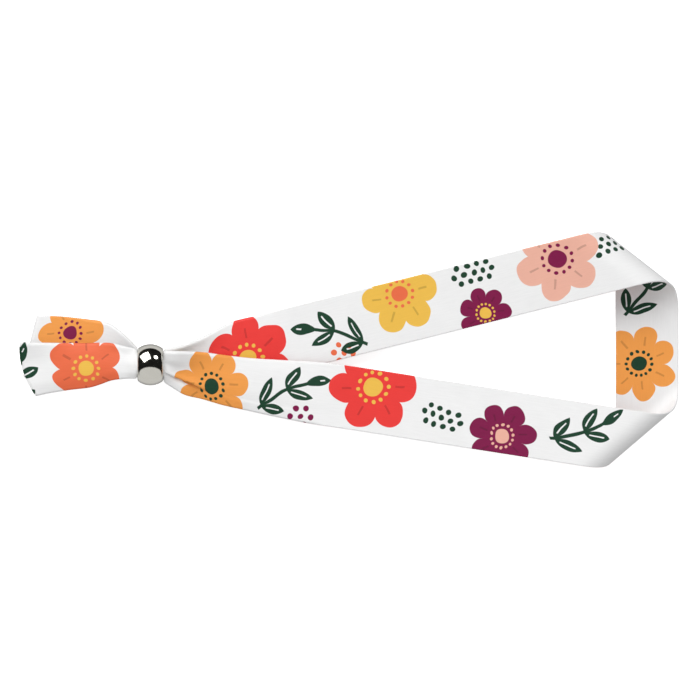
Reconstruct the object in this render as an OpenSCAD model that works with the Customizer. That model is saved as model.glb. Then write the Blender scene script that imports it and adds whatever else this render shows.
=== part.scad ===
// A festival wristband laid on a table: one ribbon folded into a loop, with both ends through a bead.
// Millimetres. +Z is up from the table at z = 0, and +X runs from the cut ends to the far end of the loop.

/* [Ribbon] */
// Width of the ribbon from selvedge to selvedge
ribbon_width = 15; // [14:0.25:16]
// Thickness of the cloth wall
ribbon_wall = 1; // [0.8:0.05:1.1]

/* [Bead] */
// Diameter of the ball that the bead is turned from
bead_diameter = 10; // [9.4:0.1:11]
// Length of the bead along its bore
bead_length = 6.2; // [5.6:0.1:6.6]
// Diameter of the bore that the ribbon is drawn through
bore_diameter = 6.2; // [6.2:0.1:6.6]
// Rounding at the two mouths of the bore
rim_radius = 0.4; // [0.2:0.05:0.5]

/* [Loop] */
// Distance from the bead's centre to the middle line of the stretch at the far end
loop_length = 120.1; // [112:0.1:130]
// Sideways place of the middle of the far stretch, measured from the bead
far_offset = 3.25; // [2:0.05:5]
// Where the line of the upper leg would pass the bead's centre
upper_aim = -2.35; // [-2.8:0.05:-1.8]
// Where the line of the lower leg would pass the bead's centre
lower_aim = -0.42; // [-0.8:0.02:0]

/* [Folds] */
// Skew of the upper fold, from square across the ribbon
upper_skew = 38; // [37:0.1:39]
// Skew of the lower fold, from square across the ribbon
lower_skew = 40.55; // [39.5:0.05:41.5]
// Bend radius of the upper fold
upper_curl = 5.3; // [4.6:0.1:5.8]
// Bend radius of the lower fold
lower_curl = 4.3; // [3.8:0.1:4.9]
// Radius of the long sag of the upper leg
upper_sag = 520; // [480:10:700]
// Radius of the long sag of the lower leg
lower_sag = 865; // [700:5:1100]

/* [Detail] */
// Points across the ribbon
columns = 13; // [13:2:17]
// Steps round each fold
curl_steps = 14; // [10:1:18]
// Steps along each leg, from its fold to its gathers
leg_steps = 6; // [5:1:8]
// Steps along the gathers of each leg
gather_steps = 20; // [16:1:24]
// Steps along each cut end
tail_steps = 16; // [12:1:18]

/* [Hidden] */

UPPER = 1;
LOWER = -1;
bead_z = bead_diameter / 2;
// Each pass fills its own half of the bore, with these clearances to the metal and to the other pass
bore_clearance = 0.1;
pass_clearance = 0.1;
pass_radius = bore_diameter / 2 - bore_clearance;
// A pass keeps blunt edges, this many degrees round from where the two passes face each other
pass_edge = 8;
// Height of each pass above or below the bead's axis
pass_level = 1.4;
// The gathers start this far outside the bead, and lose the shape of the bore over the run
mouth_clearance = 0.2;
mouth = bead_length / 2 + mouth_clearance;
mouth_run = 5;
// From here to the bead a leg is gathered. From the second distance on its rows lie square to it
gather_start = 48;
square_start = 80;
// Rows crowd towards the bead, more so as these powers leave 1
gather_crowding = 0.8;
tail_crowding = 1.2;
// Steps from the middle of the far stretch to a fold
far_steps = 3;
// Share of the width over which the tilt of a pleat is taken
tilt_step = 0.02;

// Columns of the tables below that hold the seven heights
LEG_HEIGHTS = [3:9];
TAIL_HEIGHTS = [5:11];
// Gathers of the upper leg. Columns: distance from the bead, sideways shift, share of the ribbon's
// width, then the heights of seven places across, from the edge nearer -Y to the edge nearer +Y
UPPER_GATHERS = [
    [3.3, 1.45, 0.400, 0.6, -0.5, 0.5, -0.9, 0.4, -0.5, 0.6],
    [7.0, 0.95, 0.507, 0.1, -0.7, 0.2, 0.4, -0.4, -0.6, -0.3],
    [12.4, 0.30, 0.640, -0.5, -0.7, 0.1, 0.5, 0.1, -0.5, -1.0],
    [20.0, 0.05, 0.867, -0.6, -0.3, 0.1, 0.4, 0.3, -0.1, -0.7],
    [28.0, 0.00, 0.987, -0.2, -0.1, 0.0, 0.1, 0.1, 0.0, -0.2],
    [36.0, 0.00, 1.000, 0.0, 0.0, 0.0, 0.0, 0.0, 0.0, 0.0],
    [48.0, 0.00, 1.000, 0.0, 0.0, 0.0, 0.0, 0.0, 0.0, 0.0]
];
// Gathers of the lower leg, in the same columns
LOWER_GATHERS = [
    [3.3, 0.75, 0.413, -0.6, 0.5, -0.5, 0.9, -0.4, 0.5, -0.6],
    [6.0, 0.00, 0.553, -0.7, -0.1, -0.8, 0.4, 0.9, 0.3, -0.7],
    [12.5, -0.40, 0.720, -1.0, -1.4, 0.1, 0.5, 0.8, 0.6, -0.7],
    [18.0, -0.60, 0.780, -2.0, -1.1, 0.1, 0.5, 0.6, 0.3, -0.7],
    [24.0, -0.62, 0.820, -2.0, -0.8, 0.0, 0.4, 0.5, 0.2, -0.6],
    [31.0, -0.48, 0.893, -1.2, -0.4, 0.1, 0.3, 0.3, 0.1, -0.4],
    [41.6, -0.12, 0.987, -0.2, -0.1, 0.1, 0.1, 0.1, 0.0, -0.1],
    [48.0, 0.00, 1.000, 0.0, 0.0, 0.0, 0.0, 0.0, 0.0, 0.0]
];
// Cut end that follows the upper leg. Columns: distance from the bead, sideways place, share of the
// width, turn in degrees, lift, then the heights of the same seven places
UPPER_TAIL = [
    [3.3, 0.00, 0.400, 0, 0.0, 0.6, -0.5, 0.5, -0.9, 0.4, -0.5, 0.6],
    [7.0, 1.70, 0.667, 8, -0.1, -0.3, -0.6, 0.2, 0.4, 0.3, -0.4, -1.4],
    [12.0, 2.90, 0.947, 10, -0.3, -0.5, -0.3, 0.1, 0.4, 0.4, -0.1, -1.0],
    [20.0, 4.40, 0.993, 10, -0.8, -0.1, 0.0, 0.0, 0.1, 0.1, 0.0, -0.3],
    [28.9, 4.65, 1.000, 11, -1.5, 0.0, 0.0, 0.0, 0.0, 0.0, 0.0, 0.0]
];
// Cut end that follows the lower leg, in the same columns
LOWER_TAIL = [
    [3.3, 0.00, 0.413, 0, 0.0, -0.6, 0.5, -0.5, 0.9, -0.4, 0.5, -0.6],
    [9.6, 0.10, 0.613, -2, -0.1, -2.4, -0.9, 0.3, 0.8, 0.9, 0.5, -0.7],
    [14.6, -0.10, 0.680, -4, -0.3, -2.6, -0.9, 0.3, 0.8, 0.9, 0.5, -0.8],
    [20.3, -0.60, 0.767, -7, -0.8, -2.2, -0.8, 0.1, 0.6, 0.8, 0.5, -0.9],
    [26.1, -1.20, 0.853, -11, -1.3, -1.6, -0.6, 0.0, 0.5, 0.7, 0.4, -1.0],
    [30.3, -1.40, 0.893, -13, -1.8, -1.2, -0.4, 0.0, 0.4, 0.6, 0.3, -1.1]
];

function of_half(half, upper, lower) = half == UPPER ? upper : lower;
function skew(half) = of_half(half, upper_skew, lower_skew);
function curl(half) = of_half(half, upper_curl, lower_curl);
function sag(half) = of_half(half, upper_sag, lower_sag);
function aim(half) = of_half(half, upper_aim, lower_aim);
// The upper leg passes through the bead below the lower one
function level(half) = bead_z - half * pass_level;
function radians(angle) = angle * PI / 180;
function degrees(angle) = angle * 180 / PI;
function mix(from, to, share) = from + (to - from) * share;
function smooth(share) = let (t = max(0, min(1, share))) t * t * (3 - 2 * t);

// Slope of a leg where it leaves its fold, so that its sag brings it to its level at the bead
function fall(half) =
    let (
        reach = (loop_length - PI * curl(half) * sin(skew(half))) / (2 * sin(skew(half))),
        drop = ribbon_wall / 2 + 2 * curl(half) - level(half)
    )
    degrees(drop / reach + reach / (2 * sag(half)));
// Angle that a fold bends through, and the run of cloth that this takes square to the fold
function bend(half) = 180 + fall(half);
function bend_run(half) = curl(half) * radians(bend(half));
// Where a leg's middle line leaves the fold
function leg_x(half) = loop_length + sin(skew(half)) * (curl(half) * sin(bend(half)) - bend_run(half));
function leg_slope(half) = half / tan(2 * skew(half));
function line_y(half, x) = aim(half) + leg_slope(half) * x;
// Flat run of ribbon from the middle of the far stretch to the fold
function flat_run(half) =
    half * (line_y(half, leg_x(half)) - far_offset)
    - bend_run(half) / cos(skew(half))
    - cos(skew(half)) * (curl(half) * sin(bend(half)) - bend_run(half));

// Height of a leg's cloth at a run past its fold
function leg_z(half, run) =
    ribbon_wall / 2 + curl(half) * (1 - cos(bend(half)))
    - radians(fall(half)) * run + run * run / (2 * sag(half));
// The fold seen along its axis, at a run of cloth from its start: outward place, height, bend so far
function fold_profile(half, run) =
    let (r = curl(half), turned = degrees(run / r), past = run - bend_run(half))
    run <= 0 ? [run, ribbon_wall / 2, 0]
    : past <= 0 ? [r * sin(turned), ribbon_wall / 2 + r * (1 - cos(turned)), turned]
    : [r * sin(bend(half)) - past, leg_z(half, past), bend(half) - degrees(past / sag(half))];
// The two faces of the cloth before its gathers, at a place across and along the ribbon
function folded_pair(half, across, along) =
    let (
        run = (along - flat_run(half)) * cos(skew(half)) + across * sin(skew(half)),
        fold = fold_profile(half, run),
        moved = fold[0] - run,
        middle = [
            loop_length + across + sin(skew(half)) * moved,
            far_offset + half * (along + cos(skew(half)) * moved),
            fold[1]
        ],
        face = [-sin(skew(half)) * sin(fold[2]), -half * cos(skew(half)) * sin(fold[2]), cos(fold[2])]
    )
    [middle + face * ribbon_wall / 2, middle - face * ribbon_wall / 2];
// Rows lie along the fold's axis where slant is 1, and square to the ribbon where it is 0
function folded_row(half, along, slant) = [
    for (i = [0:columns - 1])
        let (across = ribbon_width * (i / (columns - 1) - 0.5))
        folded_pair(half, across, along - slant * across * tan(skew(half)))
];

// A smooth curve through one column of a table, whose first column rises
function row_slope(table, column, i) =
    let (a = max(i - 1, 0), b = min(i + 1, len(table) - 1))
    (table[b][column] - table[a][column]) / (table[b][0] - table[a][0]);
function curve(table, column, x) =
    let (
        i = max([for (k = [0:len(table) - 2]) if (k == 0 || table[k][0] <= x) k]),
        span = table[i + 1][0] - table[i][0],
        t = max(0, min(1, (x - table[i][0]) / span)),
        bow_in = row_slope(table, column, i) * span,
        bow_out = row_slope(table, column, i + 1) * span
    )
    mix(table[i][column], table[i + 1][column], t * t * (3 - 2 * t))
    + t * (1 - t) * ((1 - t) * bow_in - t * bow_out);
// Height of the cloth at a share of the way across, through the seven heights of a row
function pleat(heights, share) =
    let (table = [for (k = [0:len(heights) - 1]) [k / (len(heights) - 1), heights[k]]])
    curve(table, 1, share);

// One pass through the bead, as the same pair of faces: an arc of the bore and the flat between passes
function pass_pair(half, x, share) =
    let (
        turned = 180 - pass_edge - share * (180 - 2 * pass_edge),
        arc = [x, pass_radius * cos(turned), bead_z - half * pass_radius * sin(turned)],
        flat = [x, pass_radius * cos(turned), bead_z - half * pass_clearance]
    )
    half == UPPER ? [arc, flat] : [flat, arc];
// A gathered row across the ribbon, with its lower face first, blended into the pass near the bead
function gathered_row(half, x, y, width, turn, heights, base) = [
    for (i = [0:columns - 1])
        let (
            share = half == UPPER ? 1 - i / (columns - 1) : i / (columns - 1),
            side = (share - 0.5) * width,
            rise = pleat(heights, share + tilt_step) - pleat(heights, share - tilt_step),
            tilt = rise / (2 * tilt_step * width),
            half_wall = ribbon_wall / 2 * sqrt(1 + tilt * tilt),
            middle = [x + side * sin(turn), y + side * cos(turn), base[i] + pleat(heights, share)],
            gather = 1 - smooth((abs(x) - mouth) / mouth_run),
            pass = pass_pair(half, x, share)
        )
        [
            mix(middle - [0, 0, half_wall], pass[0], gather),
            mix(middle + [0, 0, half_wall], pass[1], gather)
        ]
];
// A row of a leg's gathers, which turns square to the bead as it comes in
function leg_row(half, x) =
    let (
        table = of_half(half, UPPER_GATHERS, LOWER_GATHERS),
        run = (leg_x(half) - x) / (2 * sin(skew(half)))
    )
    gathered_row(
        half, x, line_y(half, x) + curve(table, 1, x), ribbon_width * curve(table, 2, x),
        -atan(leg_slope(half)) * smooth(x / gather_start),
        [for (column = LEG_HEIGHTS) curve(table, column, x)],
        [for (i = [0:columns - 1])
            leg_z(half, run + ribbon_width * (i / (columns - 1) - 0.5) * sin(skew(half)))]
    );
// A row of a cut end
function tail_row(half, reach) =
    let (table = of_half(half, UPPER_TAIL, LOWER_TAIL))
    gathered_row(
        half, -reach, curve(table, 1, reach), ribbon_width * curve(table, 2, reach),
        curve(table, 3, reach), [for (column = TAIL_HEIGHTS) curve(table, column, reach)],
        [for (i = [0:columns - 1]) level(half) + curve(table, 4, reach)]
    );

// Rows of one half of the ribbon, from the middle of the far stretch to its cut end
function fold_end(half) = flat_run(half) + bend_run(half) / cos(skew(half));
function leg_along(half, x) = fold_end(half) + (leg_x(half) - x) / sin(2 * skew(half));
function tail_reach(half) =
    let (table = of_half(half, UPPER_TAIL, LOWER_TAIL))
    table[len(table) - 1][0];
function spread(from, to, steps) = [for (i = [0:steps]) mix(from, to, i / steps)];
function after_first(list) = [for (i = [1:len(list) - 1]) list[i]];
function half_rows(half) = concat(
    [for (along = after_first(spread(0, flat_run(half), far_steps)))
        folded_row(half, along, smooth(along / flat_run(half)))],
    [for (along = after_first(spread(flat_run(half), fold_end(half), curl_steps)))
        folded_row(half, along, 1)],
    [for (x = after_first(spread(leg_x(half), gather_start, leg_steps)))
        folded_row(half, leg_along(half, x), smooth((x - square_start) / (leg_x(half) - square_start)))],
    [for (t = after_first(spread(0, 1, gather_steps)))
        leg_row(half, mix(gather_start, mouth, pow(t, gather_crowding)))],
    [tail_row(half, mouth)],
    [for (t = after_first(spread(0, 1, tail_steps)))
        tail_row(half, mix(mouth, tail_reach(half), pow(t, tail_crowding)))]
);
function turned_round(list) = [for (i = [len(list) - 1:-1:0]) list[i]];
rows = concat(turned_round(half_rows(UPPER)), [folded_row(UPPER, 0, 0)], half_rows(LOWER));

// The rows become closed rings: one face of the cloth, then the other face back
ring_size = 2 * columns;
function ring(row) = concat([for (pair = row) pair[0]], turned_round([for (pair = row) pair[1]]));
strap_points = [for (row = rows) each ring(row)];
function corner(row, place) = row * ring_size + place % ring_size;
// Both cut ends are closed by a strip of quads between the two faces
function end_faces(row, outward) = [
    for (i = [0:columns - 2])
        let (
            over = ring_size - 1 - i,
            quad = [corner(row, i), corner(row, i + 1), corner(row, over - 1), corner(row, over)]
        )
        outward ? quad : turned_round(quad)
];
side_faces = [
    for (row = [0:len(rows) - 2], place = [0:ring_size - 1])
        [corner(row, place), corner(row, place + 1), corner(row + 1, place + 1), corner(row + 1, place)]
];
strap_faces = concat(side_faces, end_faces(0, false), end_faces(len(rows) - 1, true));

// The origin is under the middle of the whole object
centre_x = (max([for (p = strap_points) p[0]]) + min([for (p = strap_points) p[0]])) / 2;
centre_y = (max([for (p = strap_points) p[1]]) + min([for (p = strap_points) p[1]])) / 2;

module from_bead() {
    translate([-centre_x, -centre_y, 0]) children();
}

module ribbon_strap() {
    color("whitesmoke")
        from_bead()
            polyhedron(points = strap_points, faces = strap_faces, convexity = 10);
}

// Half of the bead's section: the ball's arc outside, the bore inside and round mouths
module bead_section() {
    bore = bore_diameter / 2;
    intersection() {
        circle(d = bead_diameter, $fn = 96);
        union() {
            translate([bore, -bead_length / 2 + rim_radius])
                square([bead_diameter, bead_length - 2 * rim_radius]);
            translate([bore + rim_radius, -bead_length / 2])
                square([bead_diameter, bead_length]);
            for (end = [-1, 1])
                translate([bore + rim_radius, end * (bead_length / 2 - rim_radius)])
                    circle(r = rim_radius, $fn = 32);
        }
    }
}

module closure_bead() {
    color("silver")
        from_bead()
            translate([0, 0, bead_z])
                rotate([0, 90, 0])
                    rotate_extrude($fn = 96)
                        bead_section();
}

ribbon_strap();
closure_bead();
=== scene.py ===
import math

import bpy
import numpy as np
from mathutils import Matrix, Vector


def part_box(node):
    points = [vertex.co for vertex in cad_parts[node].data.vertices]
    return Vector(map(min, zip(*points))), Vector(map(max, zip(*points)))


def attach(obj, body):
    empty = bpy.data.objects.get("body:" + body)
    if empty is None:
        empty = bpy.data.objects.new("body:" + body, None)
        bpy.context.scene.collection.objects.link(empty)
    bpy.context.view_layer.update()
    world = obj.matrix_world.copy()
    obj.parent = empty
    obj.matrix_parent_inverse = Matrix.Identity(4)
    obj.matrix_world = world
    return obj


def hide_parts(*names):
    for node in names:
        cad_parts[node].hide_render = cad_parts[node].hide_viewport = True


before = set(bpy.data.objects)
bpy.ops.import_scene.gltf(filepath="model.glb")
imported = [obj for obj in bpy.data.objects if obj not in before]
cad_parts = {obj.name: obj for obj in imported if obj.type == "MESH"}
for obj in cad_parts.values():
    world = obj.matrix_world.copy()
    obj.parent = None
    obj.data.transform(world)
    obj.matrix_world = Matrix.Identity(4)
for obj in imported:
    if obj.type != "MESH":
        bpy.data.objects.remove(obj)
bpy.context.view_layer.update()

# A printed satin ribbon folded into a wrist loop, with both cut ends through a nickel-plated bead.
# Sizes are in millimetres about the bead's centre line, as in the construction, unless they say metres.
MM = 0.001

# The bead's box in the construction gives the bead's size, and the place of everything else
bead_low, bead_high = (Vector(corner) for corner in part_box("closure_bead"))
bead_centre = (bead_low + bead_high) / 2
BEAD_LENGTH = (bead_high.x - bead_low.x) / MM
BEAD_DIAMETER = (bead_high.z - bead_low.z) / MM
BEAD_Z = bead_centre.z / MM
BORE_DIAMETER = 6.2
RIM_SOFTNESS = 1.1
BEAD_SIDES = 128
BEAD_SECTION_POINTS = 88

# Ribbon
RIBBON_WIDTH = 15.0
CLOTH = 0.45
SELVEDGE_BULGE = 0.10

# Loop and folds
LOOP_LENGTH = 120.1
FAR_OFFSET = 3.25
UPPER = 1
LOWER = -1

# Each pass fills its own half of the bore, with this much air to the metal and to the other pass
PASS_LEVEL = 1.4
PASS_AIR = 0.08
# The cloth starts to spread this far inside each end of the bore, and is spread after this run
MOUTH_DEPTH = 0.10
MOUTH = BEAD_LENGTH / 2 - MOUTH_DEPTH
MOUTH_RUN = 0.65
GATHER_START = 48.0
SQUARE_START = 80.0
# Rows of cloth are this much closer together at the mouths of the bore
MOUTH_CROWDING = 1.6
# Radius at which the edges of the gathered cloth roll under, and the points that draw the roll
ROLL_RADIUS = 0.42
ROLL_POINTS = 30

# Steps of the cloth's mesh along each half of the ribbon
FAR_STEPS = 10
CURL_STEPS = 40
LEG_STEPS = 34
GATHER_STEPS = 92
TAIL_STEPS = 62

# Gathers of each leg. Columns: distance from the bead, sideways shift, share of the ribbon's width,
# then the heights of seven places across, from the edge nearer -Y to the edge nearer +Y
UPPER_GATHERS = [
    [3.3, 1.60, 0.470, -0.7, -0.8, -0.9, -1.1, -1.1, -0.8, -0.4],
    [7.0, 1.06, 0.520, -0.6, -0.8, -0.8, -0.9, -0.9, -0.5, 0.3],
    [12.4, 0.55, 0.670, -0.6, -0.6, -0.5, -0.5, -0.5, -0.2, 0.4],
    [16.0, 0.56, 0.787, -0.6, -0.5, -0.3, -0.2, -0.2, 0.0, 0.3],
    [20.0, 0.46, 0.933, -0.5, -0.3, 0.0, 0.1, 0.1, 0.1, 0.1],
    [24.0, 0.25, 0.967, -0.3, -0.2, 0.0, 0.1, 0.1, 0.1, 0.0],
    [28.0, 0.00, 0.987, -0.2, -0.1, 0.0, 0.1, 0.1, 0.0, -0.1],
    [36.0, 0.00, 1.000, 0.0, 0.0, 0.0, 0.0, 0.0, 0.0, 0.0],
    [48.0, 0.00, 1.000, 0.0, 0.0, 0.0, 0.0, 0.0, 0.0, 0.0],
]
LOWER_GATHERS = [
    [3.3, 0.34, 0.480, 0.0, 0.8, 1.1, 0.9, 0.6, 1.1, 1.6],
    [6.0, -0.11, 0.590, 0.0, 0.4, 0.2, -0.1, 0.5, 1.9, 2.8],
    [8.5, -0.45, 0.680, -0.1, 0.5, 0.3, 0.0, 0.4, 1.5, 2.4],
    [12.5, -0.37, 0.727, -0.6, 0.1, 0.1, 0.0, 0.2, 0.6, 1.1],
    [18.0, -0.60, 0.780, -0.8, -0.2, 0.1, 0.2, 0.2, 0.2, 0.2],
    [24.0, -0.62, 0.820, -0.9, -0.3, 0.1, 0.2, 0.2, 0.1, -0.1],
    [31.0, -0.48, 0.893, -0.7, -0.2, 0.1, 0.2, 0.2, 0.1, -0.2],
    [41.6, -0.12, 0.987, -0.2, -0.1, 0.1, 0.1, 0.1, 0.0, -0.1],
    [48.0, 0.00, 1.000, 0.0, 0.0, 0.0, 0.0, 0.0, 0.0, 0.0],
]
# The pleat of the lower leg beside the bead. Columns: distance from the bead, place across as a share of
# the width from the -Y edge, how far the cloth folds back over itself, and how far it steps down there
PLEAT = [
    [3.3, 0.36, 0.9, 0.5],
    [5.0, 0.38, 1.2, 1.2],
    [8.0, 0.38, 1.2, 1.6],
    [11.6, 0.27, 0.8, 1.1],
    [15.0, 0.16, 0.0, 0.0],
    [48.0, 0.16, 0.0, 0.0],
]
NO_PLEAT = [[0.0, 0.5, 0.0, 0.0], [GATHER_START, 0.5, 0.0, 0.0]]
PLEAT_SPAN = 0.03
# Cut ends. Columns: distance from the bead, sideways place, share of the width, turn in degrees, lift,
# then the heights of the same seven places
UPPER_TAIL = [
    [3.3, 0.62, 0.450, 2, 0.0, 0.5, -0.4, -0.9, -1.1, -1.0, -0.8, -0.3],
    [5.4, 1.35, 0.590, 6, -0.4, 0.1, -0.4, -0.5, -0.6, -0.6, -0.2, 0.3],
    [7.8, 2.05, 0.747, 9, -0.9, -0.1, -0.2, -0.3, -0.4, -0.3, 0.2, 0.8],
    [11.4, 3.17, 0.907, 10, -1.6, -0.1, -0.1, -0.1, -0.1, -0.1, 0.1, 0.4],
    [16.5, 3.55, 0.980, 11, -2.3, 0.0, 0.0, 0.0, 0.0, 0.0, 0.1, 0.2],
    [24.0, 4.30, 1.000, 12, -2.8, 0.0, 0.0, 0.0, 0.0, 0.0, 0.0, 0.0],
    [29.0, 4.35, 1.000, 12.5, -3.1, 0.0, 0.0, 0.0, 0.0, 0.0, 0.0, 0.0],
]
LOWER_TAIL = [
    [3.3, 0.20, 0.455, 0, 0.0, -0.1, 0.8, 1.1, 1.2, 0.9, 0.5, 0.0],
    [6.0, 0.45, 0.495, -1, -0.2, 0.3, 0.7, 0.8, 0.8, 0.6, 0.4, 0.5],
    [9.6, 0.65, 0.580, -2, -0.5, -0.1, 0.4, 0.5, 0.5, 0.4, 0.3, 0.3],
    [12.5, 0.20, 0.647, -4, -0.8, -0.6, 0.1, 0.4, 0.5, 0.4, 0.3, 0.1],
    [15.0, -0.17, 0.690, -5, -1.1, -0.6, 0.0, 0.3, 0.4, 0.4, 0.3, 0.0],
    [20.3, -0.48, 0.737, -8, -1.7, -0.6, 0.0, 0.2, 0.3, 0.3, 0.3, 0.2],
    [26.0, -0.90, 0.813, -13, -2.3, -0.5, 0.0, 0.1, 0.1, 0.2, 0.6, 1.1],
    [29.4, -1.15, 0.884, -16.7, -2.6, -0.4, 0.0, 0.0, 0.0, 0.2, 0.8, 1.5],
]
# How far the middle of each cut end stands out past its corners
UPPER_END_BOW = 0.2
LOWER_END_BOW = 1.3


# Columns of cloth across the ribbon: close together where the edges roll, wider apart in the middle
def column_places():
    edge_run, edge_step, middle_step = 5.7, 0.165, 0.33
    half_middle = RIBBON_WIDTH / 2 - edge_run
    edge = np.linspace(0, edge_run, round(edge_run / edge_step) + 1)
    middle = np.linspace(-half_middle, half_middle, round(2 * half_middle / middle_step) + 1)
    return np.concatenate([edge - RIBBON_WIDTH / 2, middle[1:-1], RIBBON_WIDTH / 2 - edge[::-1]])


ACROSS = column_places()
COLUMNS = len(ACROSS)
# Even shares of the way across, at which a gathered section is drawn before its columns are spaced
SHARES = np.linspace(0, 1, 301)
SETTLING_ROUNDS = 5


def mix(first, second, share):
    return first + (second - first) * share


def smooth(share):
    t = np.clip(share, 0, 1)
    return t * t * (3 - 2 * t)


def curve(places, values, x):
    """A smooth curve through values at rising places."""
    last = len(places) - 1
    before = np.maximum(np.arange(last + 1) - 1, 0)
    after = np.minimum(np.arange(last + 1) + 1, last)
    slopes = (values[after] - values[before]) / (places[after] - places[before])
    i = np.clip(np.searchsorted(places, x, side="right") - 1, 0, last - 1)
    span = places[i + 1] - places[i]
    t = np.clip((x - places[i]) / span, 0, 1)
    bow = (1 - t) * slopes[i] * span - t * slopes[i + 1] * span
    return mix(values[i], values[i + 1], smooth(t)) + t * (1 - t) * bow


def unit(vectors):
    return vectors / np.linalg.norm(vectors, axis=-1, keepdims=True)


def run_lengths(points):
    steps = np.linalg.norm(np.diff(points, axis=0), axis=1)
    return np.concatenate([[0], np.cumsum(steps)])


def resampled(points, runs, wanted):
    """Places at the wanted runs along a path whose points lie at the given runs."""
    return np.stack([np.interp(wanted, runs, points[:, k]) for k in (0, 1)], axis=1)


def at_columns(points):
    """The points of a section that lie where the cloth's columns do, by the run along the section."""
    runs = run_lengths(points)
    return resampled(points, runs, (ACROSS / RIBBON_WIDTH + 0.5) * runs[-1])


def rolled_edge(inward, length):
    """An edge that rolls under and runs back below the cloth: outward places and heights from its start."""
    outward = -unit(np.gradient(inward, axis=0))
    under = np.stack([outward[:, 1], -outward[:, 0]], axis=1) * ROLL_RADIUS
    turned = np.linspace(0, math.pi, ROLL_POINTS)[:, None]
    roll = under[0] * (1 - np.cos(turned)) + outward[0] * ROLL_RADIUS * np.sin(turned)
    run_back = inward[1:] - inward[0] + 2 * under[1:]
    path = np.concatenate([roll, run_back])
    return resampled(path, run_lengths(path), np.linspace(0, length, 2 * ROLL_POINTS))


def gathered_section(width, heights, pleat=(0.5, 0.0, 0.0)):
    """Gathered cloth seen along the ribbon: a waved middle, and edges rolled under by what is spare."""
    pleat_place, fold_back, step_down = pleat
    past_pleat = smooth((SHARES - pleat_place + PLEAT_SPAN) / (2 * PLEAT_SPAN))
    rises = curve(np.linspace(0, 1, len(heights)), heights, SHARES) - step_down * (1 - past_pleat)
    # The rolled edges stand out past the middle, which is narrowed until the whole has its width
    inner = width
    for _ in range(SETTLING_ROUNDS):
        sideways = SHARES * (inner + fold_back) - inner / 2 - fold_back * past_pleat
        middle = np.stack([sideways, rises], axis=1)
        spare = max(0.0, RIBBON_WIDTH - run_lengths(middle)[-1]) / 2
        near = rolled_edge(middle * [-1, 1], spare)
        far = rolled_edge(middle[::-1], spare)
        inner = width - near[:, 0].max() - far[:, 0].max()
    near_points = middle[0] + near * [-1, 1]
    far_points = middle[-1] + far
    return at_columns(np.concatenate([near_points[:0:-1], middle, far_points[1:]]))


def pass_section(side):
    """The cloth inside the bore: wrapped round one half of it, with both edges along the other pass."""
    arc_points, flat_points, even_points = 40, 30, 160
    inset = PASS_AIR + CLOTH / 2
    radius = BORE_DIAMETER / 2 - inset
    corner = math.asin(inset / radius)
    turned = np.linspace(math.pi / 2, corner, arc_points)
    arc = np.stack([radius * np.cos(turned), radius * np.sin(turned)], axis=1)
    flat_places = np.linspace(radius * math.cos(corner), 0, flat_points)
    flat = np.stack([flat_places, np.full(flat_points, inset)], axis=1)
    if side == LOWER:
        right = np.concatenate([arc, flat[1:]])
    else:
        right = np.concatenate([flat[::-1], arc[::-1][1:]]) * [1, -1]
    runs = run_lengths(right)
    right = resampled(right, runs, np.linspace(0, runs[-1] - inset, even_points))
    # The cloth rounds the corner instead of creasing there
    window = 17
    padded = np.pad(right, ((window // 2, window // 2), (0, 0)), mode="edge")
    eased = np.stack([np.convolve(padded[:, k], np.ones(window) / window, "valid") for k in (0, 1)], axis=1)
    eased[0, 0] = 0
    left = eased[:0:-1] * [-1, 1]
    return at_columns(np.concatenate([left, eased])) + [0, BEAD_Z]


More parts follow.
